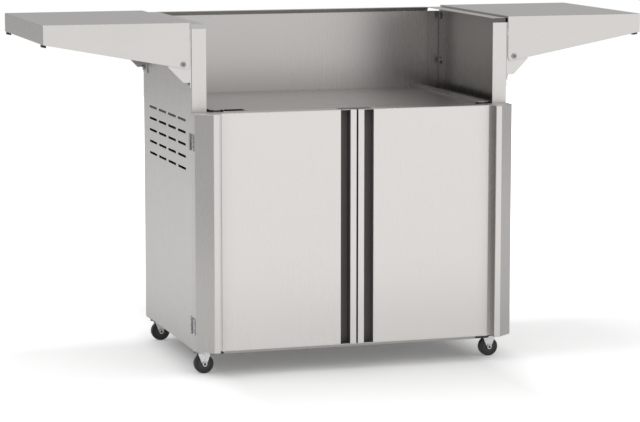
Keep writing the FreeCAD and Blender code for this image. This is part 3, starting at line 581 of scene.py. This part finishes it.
zinc_plate = plated_steel("zinc_plate", ZINC_TONE, 0.26)
screw_steel = plated_steel("screw_steel", SCREW_TONE, 0.3)
pivot_steel = plated_steel("pivot_steel", PIVOT_TONE, 0.34)
shaded_zinc = plated_steel("shaded_zinc", SHADED_ZINC_TONE, 0.4)
print("hardware:", zinc_plate.name, screw_steel.name, pivot_steel.name, shaded_zinc.name)

# %% [markdown]
# Rubber and moulded plastic are dielectric: a dark body colour under a thin, broad
# sheen. The buffers carry dust in their pores, the magnet blocks a fine spark-eroded
# texture.

# %% Rubber and plastic
PATCH_SIZE = (30.0, 30.0, 30.0)
MOULD_BUMP = (0.25, 0.0003)


def moulded(name, tone, roughness, grain_size, dust):
    """Moulded rubber or plastic with a fine grain and a trace of dust."""
    material, tree, shader = new_material(name)
    grain = stretched_noise(tree, (grain_size, grain_size, grain_size), 2.0)
    patches = stretched_noise(tree, PATCH_SIZE, 4.0)
    dust_and_shade = [part + dust for part in tone]
    body = mix_colours(tree, between(tree, patches, 0.0, 1.0), tone, dust_and_shade)
    link(tree, body, shader.inputs["Base Color"])
    rough = between(tree, patches, roughness - 0.06, roughness + 0.08)
    link(tree, rough, shader.inputs["Roughness"])
    bump(tree, shader, grain, *MOULD_BUMP)
    return material


block_plastic = moulded("block_plastic", (0.016, 0.016, 0.017), 0.42, 1600.0, 0.006)
buffer_rubber = moulded("buffer_rubber", (0.014, 0.014, 0.014), 0.6, 900.0, 0.008)
print("blacks:", block_plastic.name, buffer_rubber.name)

# %% [markdown]
# A caster wheel of this kind is one casting of rubber on a plastic hub. Seen from the
# side it is a set of rings about the axle: hub, a groove, the flank of the tread with its
# mould line. Rings are easy to draw in a material, because a ring is only a distance from
# the axle, so each wheel measures that distance from its own middle.

# %% Wheels
HUB_TONE = (0.026, 0.026, 0.027)
TREAD_TONE = (0.013, 0.013, 0.0135)
GROOVE_SHADE_TONE = (0.004, 0.004, 0.004)
GROOVE_RADIUS = 0.0165
MOULD_LINE_RADIUS = 0.0215
GROOVE_HALF = 0.0011
WHEEL_DUST = (160.0, 160.0, 160.0)
WHEEL_GRAIN = (1100.0, 1100.0, 1100.0)
DUST_LIGHTENS = 1.7
WHEEL_BUMP = (0.6, 0.0006)


def ring(tree, distance, radius):
    """1 on a thin ring about the axle and 0 away from it."""
    away = maths(tree, "ABSOLUTE", maths(tree, "SUBTRACT", distance, radius), 0.0)
    return spread(tree, away, GROOVE_HALF * 0.5, GROOVE_HALF * 1.3, 1.0, 0.0)


def wheel_rubber(name, middle):
    """The rings of one wheel, measured from the middle of that wheel."""
    material, tree, shader = new_material(name)
    place = tree.nodes.new("ShaderNodeTexCoord")
    flat = tree.nodes.new("ShaderNodeMapping")
    flat.inputs["Location"].default_value = (-middle.x, 0.0, -middle.z)
    flat.inputs["Scale"].default_value = (1.0, 0.0, 1.0)
    link(tree, place.outputs["Object"], flat.inputs["Vector"])
    distance = length_of(tree, flat.outputs["Vector"])
    dust = stretched_noise(tree, WHEEL_DUST, 4.0)
    grain = stretched_noise(tree, WHEEL_GRAIN, 2.0)
    dust_and_shade = [DUST_LIGHTENS * part for part in TREAD_TONE]
    tread = mix_colours(tree, between(tree, dust, 0.0, 1.0), TREAD_TONE, dust_and_shade)
    outside = spread(tree, distance, GROOVE_RADIUS - 0.0002, GROOVE_RADIUS + 0.0002, 0.0, 1.0)
    body = mix_colours(tree, outside, HUB_TONE, tread)
    groove = ring(tree, distance, GROOVE_RADIUS)
    line = ring(tree, distance, MOULD_LINE_RADIUS)
    sunk = maths(tree, "MAXIMUM", groove, maths(tree, "MULTIPLY", line, 0.6))
    # The groove and the mould line are painted darker: painted shade in the sunk rings.
    link(tree, mix_colours(tree, sunk, body, GROOVE_SHADE_TONE), shader.inputs["Base Color"])
    link(tree, spread(tree, outside, 0.0, 1.0, 0.34, 0.55), shader.inputs["Roughness"])
    height = maths(tree, "SUBTRACT", maths(tree, "MULTIPLY", grain, 0.12), sunk)
    bump(tree, shader, height, *WHEEL_BUMP)
    return material


wheel_finish = {}
for name in nodes:
    if name.startswith("caster_wheel"):
        low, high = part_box(name)
        wheel_finish[name] = wheel_rubber(name + "_rubber", (low + high) / 2)
print("wheels:", sorted(wheel_finish))

# %% [markdown]
# Each solid takes a finish for its real piece, with the painted shade set above. The grain
# follows how the sheet was cut: upright on doors and walls, along the cart on the shelves,
# across on the deck.

# %% Finish every solid
FINISHES = (
    ("shelf_bumpers", buffer_rubber),
    ("door_catches", block_plastic),
    # Painted shade: the caster plates under the cabinet take the darker zinc.
    ("caster_plates", shaded_zinc),
    ("caster_", zinc_plate),
    ("bracket_", screw_steel),
    ("shelf_pivots", pivot_steel),
    ("hinge_", screw_steel),
    ("strike_plate", zinc_plate),
    ("door_column", column_steel),
    ("deck_support", gutter_steel),
    ("back_panel", back_steel),
    ("door_", door_steel),
    ("shelf_bracket", wall_steel),
    ("shelf_", shelf_steel),
    ("deck", deck_steel),
    ("base_pan", deck_steel),
)


def finish_for(name):
    """The finish whose prefix the name starts with; wall steel where none does."""
    if name in wheel_finish:
        return wheel_finish[name]
    for prefix, material in FINISHES:
        if name.startswith(prefix):
            return material
    return wall_steel


for name, solid in nodes.items():
    solid.data.materials.clear()
    solid.data.materials.append(finish_for(name))
print("finished:", len(nodes), "solids")

# %% [markdown]
# Beside its narrow front edge the left door shows no open groove in the photograph, only a
# hairline, while the right one is open and dark. So the left groove gets a cover strip: a
# narrow folded channel that sits a hair below the face. It is drawn as an outline and
# pulled up along the door, which is how a roll-formed strip is made too. That the real
# door has such a strip is a guess. Every piece added from here on rides on the body that
# carries it, so it moves with the door, shelf or fork.

# %% Groove cover
GROOVE_WIDTH = 0.0103
STRIP_SINK = 0.0003
STRIP_LEG = 0.005
STRIP_SHEET = 0.0008
STRIP_CLEAR = 0.0001


def pull_outline(points, way):
    """A solid drawn as an outline of points and pulled along a way."""
    shape = bmesh.new()
    face = shape.faces.new([shape.verts.new(point) for point in points])
    pulled = bmesh.ops.extrude_face_region(shape, geom=[face])
    moved = [item for item in pulled["geom"] if isinstance(item, bmesh.types.BMVert)]
    bmesh.ops.translate(shape, vec=way, verts=moved)
    bmesh.ops.recalc_face_normals(shape, faces=shape.faces)
    return shape


def add_piece(name, shape, material, body):
    """Turn a finished shape into a piece of the scene that rides on a body."""
    mesh = bpy.data.meshes.new(name)
    shape.to_mesh(mesh)
    shape.free()
    mesh.materials.append(material)
    piece = bpy.data.objects.new(name, mesh)
    bpy.context.scene.collection.objects.link(piece)
    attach(piece, body)


def groove_cover():
    """A folded strip that closes the groove of the left door just below its face."""
    panel_low, panel_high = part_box("door_panel_left")
    left = panel_low.x - GROOVE_WIDTH + STRIP_CLEAR
    right = panel_low.x - STRIP_CLEAR
    front = panel_low.y + STRIP_SINK
    outline = (
        (left, front + STRIP_LEG),
        (left, front + STRIP_SHEET / 2),
        (left + STRIP_SHEET / 2, front),
        (right - STRIP_SHEET / 2, front),
        (right, front + STRIP_SHEET / 2),
        (right, front + STRIP_LEG),
        (right - STRIP_SHEET, front + STRIP_LEG),
        (right - STRIP_SHEET, front + STRIP_SHEET),
        (left + STRIP_SHEET, front + STRIP_SHEET),
        (left + STRIP_SHEET, front + STRIP_LEG),
    )
    points = [(x, y, panel_low.z) for x, y in outline]
    shape = pull_outline(points, (0, 0, panel_high.z - panel_low.z))
    add_piece("groove_cover_left", shape, door_steel, "left_door")
    print("groove cover:", round((right - left) * 1000, 1), "mm wide")


groove_cover()

# %% [markdown]
# Small screws hold the hinges and the rear panel. They are turned shapes:
# a low dome with a cross recess. The dome is built ring by ring, and the points that fall
# inside the cross are pushed down, which gives a real recess with few faces.

# %% Screw heads
SCREW_RINGS = (1.0, 0.96, 0.84, 0.66, 0.50, 0.36, 0.22, 0.10)
SCREW_STEPS = 28
CROSS_REACH = 0.58
CROSS_HALF = 0.14
CROSS_FLOOR = 0.30
RIM_RISE = 0.35


def dome_rise(x, y, share):
    """Height of the head at a point, or of the cross recess there, as a share."""
    if share < CROSS_REACH and min(abs(x), abs(y)) < CROSS_HALF:
        return CROSS_FLOOR
    return RIM_RISE + (1.0 - RIM_RISE) * math.sqrt(max(0.0, 1.0 - share * share))


def add_screw(shape, seat, out, radius, height):
    """Append one screw head to a mesh, standing on its seat along its out direction."""
    turn = Vector((0, 0, 1)).rotation_difference(out).to_matrix()
    rows = []
    for place, share in enumerate((1.0, *SCREW_RINGS)):
        row = []
        for step in range(SCREW_STEPS):
            angle = 2 * math.pi * step / SCREW_STEPS
            x = share * math.cos(angle)
            y = share * math.sin(angle)
            rise = dome_rise(x, y, share) if place else 0.0
            point = Vector((x * radius, y * radius, rise * height))
            row.append(shape.verts.new(seat + turn @ point))
        rows.append(row)
    for low, high in zip(rows, rows[1:]):
        for step in range(SCREW_STEPS):
            after = (step + 1) % SCREW_STEPS
            shape.faces.new((low[step], low[after], high[after], high[step]))
    shape.faces.new(rows[-1])


def screw_piece(
    name, body, seats, radius, height, finish=screw_steel
):
    """One piece with a screw head on every seat and way out, riding on a body."""
    shape = bmesh.new()
    for seat, out in seats:
        add_screw(shape, Vector(seat), Vector(out), radius, height)
    for face in shape.faces:
        face.smooth = True
    add_piece(name, shape, finish, body)


def both_ends(low, high):
    """A seat at the front and one at the rear of a box, facing out, at its middle."""
    middle = (low + high) / 2
    return [((middle.x, low.y, middle.z), (0, -1, 0)), ((middle.x, high.y, middle.z), (0, 1, 0))]


print("screw head:", SCREW_STEPS * len(SCREW_RINGS), "faces")

# %% [markdown]
# Each hinge leaf gets two screws, above and below its middle. The photograph is too coarse
# to show them, so they are a guess. Their seats are read from the boxes of the hinges
# themselves, so they stay on the leaves if a hinge moves.

# %% Hinge screws
HINGE_HEIGHT = 0.040
HINGE_SCREW_RADIUS = 0.0030
HINGE_SCREW_HEIGHT = 0.0012
HINGE_SCREW_SPREAD = 0.011
HINGE_SCREW_INSET = 0.008
LEAF_THICKNESS = 0.0015
PANEL_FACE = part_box("side_panel_right")[1].x
DOOR_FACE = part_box("door_column_right")[1].x

count = 0
for side, sign in (("left", -1), ("right", 1)):
    for kind, body, face in (
        ("fixed", "cabinet", PANEL_FACE),
        ("moving", f"{side}_door", DOOR_FACE),
    ):
        low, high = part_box(f"hinge_{kind}_{side}")
        along = high.y - HINGE_SCREW_INSET if kind == "fixed" else low.y + HINGE_SCREW_INSET
        middles = (low.z + HINGE_HEIGHT / 2, high.z - HINGE_HEIGHT / 2)
        leaf = sign * (face + LEAF_THICKNESS)
        seats = [
            ((leaf, along, middle + step * HINGE_SCREW_SPREAD), (sign, 0, 0))
            for middle in middles
            for step in (-1, 1)
        ]
        name = f"hinge_screws_{kind}_{side}"
        screw_piece(name, body, seats, HINGE_SCREW_RADIUS, HINGE_SCREW_HEIGHT)
        count += len(seats)
print("hinge screws:", count)

# %% [markdown]
# The shelves turn on low domed pivots, and the photograph shows a darker middle on them.
# Here that is a tiny screw head with a cross recess that sits on the dome, at the front
# and at the rear of each shelf. Its dark zinc is painted shade for the recess. The cross
# itself is a guess.

# %% Pivot recesses
PIVOT_RECESS_RADIUS = 0.0034
PIVOT_RECESS_HEIGHT = 0.0007

for side in ("left", "right"):
    screw_piece(
        f"pivot_recesses_{side}",
        f"{side}_shelf",
        both_ends(*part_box(f"shelf_pivots_{side}")),
        PIVOT_RECESS_RADIUS,
        PIVOT_RECESS_HEIGHT,
        shaded_zinc,
    )
print("pivot recesses: 4")

# %% [markdown]
# The photograph doesn't show the back. Such cabinets have a flat rear sheet held by a row
# of screws up each side, so that is what it gets. The sheet's own box gives the rows, and
# the heads are low enough to stay inside the depth of the cart.

# %% Rear panel screws
REAR_SCREW_ROWS = 5
REAR_SCREW_INSET = 0.012
REAR_SCREW_MARGIN = 0.03
REAR_SCREW_RADIUS = 0.0038
REAR_SCREW_HEIGHT = 0.0011

low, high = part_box("rear_panel")
seats = []
for row in range(REAR_SCREW_ROWS):
    share = row / (REAR_SCREW_ROWS - 1)
    z = low.z + REAR_SCREW_MARGIN + share * (high.z - low.z - 2 * REAR_SCREW_MARGIN)
    for x in (low.x + REAR_SCREW_INSET, high.x - REAR_SCREW_INSET):
        seats.append(((x, high.y, z), (0, 1, 0)))
screw_piece("rear_panel_screws", "cabinet", seats, REAR_SCREW_RADIUS, REAR_SCREW_HEIGHT)
print("rear panel screws:", len(seats))

# %% [markdown]
# The photograph shows a small dark dot at the tip of each fork, where the axle ends. It is
# too coarse to tell what the dot is. Here it is a black plastic cap, one at each end of
# the four axles.

# %% Axle caps
CAP_RADIUS = 0.0032
CAP_HEIGHT = 0.0012

for corner in ("front_left", "front_right", "rear_left", "rear_right"):
    fork_low, fork_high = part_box(f"caster_fork_{corner}")
    wheel_low, wheel_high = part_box(f"caster_wheel_{corner}")
    axle = (wheel_low + wheel_high) / 2
    screw_piece(
        f"axle_caps_{corner}",
        f"fork_{corner}",
        both_ends(Vector((axle.x, fork_low.y, axle.z)), Vector((axle.x, fork_high.y, axle.z))),
        CAP_RADIUS,
        CAP_HEIGHT,
        block_plastic,
    )
print("axle caps: 8")

# %% [markdown]
# Inside the cradle each nut has a wide dark shape round it in the photograph, which is
# taken to be a washer. A washer is a turned ring, so it is drawn as a small outline carried
# round its nut. The nuts are one solid of the frame, so their places are found by walking
# over its mesh, nut by nut.

# %% Nut washers
WASHER_WIDTH = 0.0042
WASHER_THICKNESS = 0.0012
WASHER_STEPS = 36
WASHER_PLAY = 0.0003
MERGE_REACH = 0.00001


def separate_parts(name):
    """The lowest and highest corners of every separate part of one solid."""
    shape = bmesh.new()
    shape.from_mesh(nodes[name].data)
    bmesh.ops.remove_doubles(shape, verts=shape.verts, dist=MERGE_REACH)
    waiting = set(shape.verts)
    parts = []
    while waiting:
        reached = [waiting.pop()]
        points = []
        while reached:
            point = reached.pop()
            points.append(point.co.copy())
            for edge in point.link_edges:
                other = edge.other_vert(point)
                if other in waiting:
                    waiting.remove(other)
                    reached.append(other)
        lowest = Vector([min(point[axis] for point in points) for axis in range(3)])
        highest = Vector([max(point[axis] for point in points) for axis in range(3)])
        parts.append((lowest, highest))
    shape.free()
    return parts


def add_washer(shape, middle, inward, hole):
    """Append one ring with softened edges, lying on a side panel."""
    soft = WASHER_THICKNESS / 3
    outline = (
        (hole, 0.0),
        (hole, WASHER_THICKNESS - soft),
        (hole + soft, WASHER_THICKNESS),
        (hole + WASHER_WIDTH - soft, WASHER_THICKNESS),
        (hole + WASHER_WIDTH, WASHER_THICKNESS - soft),
        (hole + WASHER_WIDTH, 0.0),
    )
    rows = []
    for step in range(WASHER_STEPS):
        angle = 2 * math.pi * step / WASHER_STEPS
        row = []
        for reach, rise in outline:
            offset = (inward * rise, reach * math.cos(angle), reach * math.sin(angle))
            row.append(shape.verts.new(middle + Vector(offset)))
        rows.append(row)
    for one, other in zip(rows, rows[1:] + rows[:1]):
        for step in range(len(outline) - 1):
            shape.faces.new((one[step], other[step], other[step + 1], one[step + 1]))


shape = bmesh.new()
count = 0
for low, high in separate_parts("bracket_nuts"):
    middle = (low + high) / 2
    inward = -1 if middle.x > 0 else 1
    panel = high.x if middle.x > 0 else low.x
    hole = max(high.y - low.y, high.z - low.z) / 2 + WASHER_PLAY
    add_washer(shape, Vector((panel, middle.y, middle.z)), inward, hole)
    count += 1
bmesh.ops.recalc_face_normals(shape, faces=shape.faces)
# The washers take the darker zinc: painted shade inside the cradle.
add_piece("nut_washers", shape, shaded_zinc, "cabinet")
print("washers:", count)

# %% [markdown]
# The photograph has a short black streak beside the right front caster, under the door,
# which is shade at the end of the hanging strip. It may be the open end of the hanging
# strip, a plug, or part of the caster; it is too small to tell. Here both ends of the
# strip get a black plastic plug that stands in for that shade: a dark piece put where
# there is shade. A plug is an outline with a notch for the sheet, pulled back into depth,
# and its edges are then rounded a little as any moulding is.

# %% End plugs
PLUG_INNER = 0.3404
PLUG_OUTER = 0.3786
PLUG_LOW = 0.0526
PLUG_HIGH = 0.0660
PLUG_DEPTH = 0.012
PLUG_NOTCH = 0.003
PLUG_ROUND = 0.0006


def shade_plug(sign):
    """One black plug between the end of the hanging strip and the caster plate beside it, standing
    in for shade.
    """
    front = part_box("base_pan")[0].y
    shoulder = PLUG_INNER + 2 * PLUG_NOTCH
    outline = (
        (PLUG_INNER, PLUG_LOW),
        (PLUG_OUTER - PLUG_NOTCH, PLUG_LOW),
        (PLUG_OUTER, PLUG_LOW + PLUG_NOTCH),
        (PLUG_OUTER, PLUG_HIGH),
        (shoulder, PLUG_HIGH),
        (shoulder, PLUG_HIGH - PLUG_NOTCH),
        (PLUG_INNER, PLUG_HIGH - PLUG_NOTCH),
    )
    shape = pull_outline([(sign * x, front, z) for x, z in outline], (0, PLUG_DEPTH, 0))
    bmesh.ops.bevel(
        shape, geom=shape.edges[:], offset=PLUG_ROUND, segments=2, profile=0.5, affect="EDGES"
    )
    side = "right" if sign > 0 else "left"
    add_piece(f"shade_plug_{side}", shape, block_plastic, "cabinet")


shade_plug(-1)
shade_plug(1)
print("end plugs:", round((PLUG_OUTER - PLUG_INNER) * 1000, 1), "mm wide")
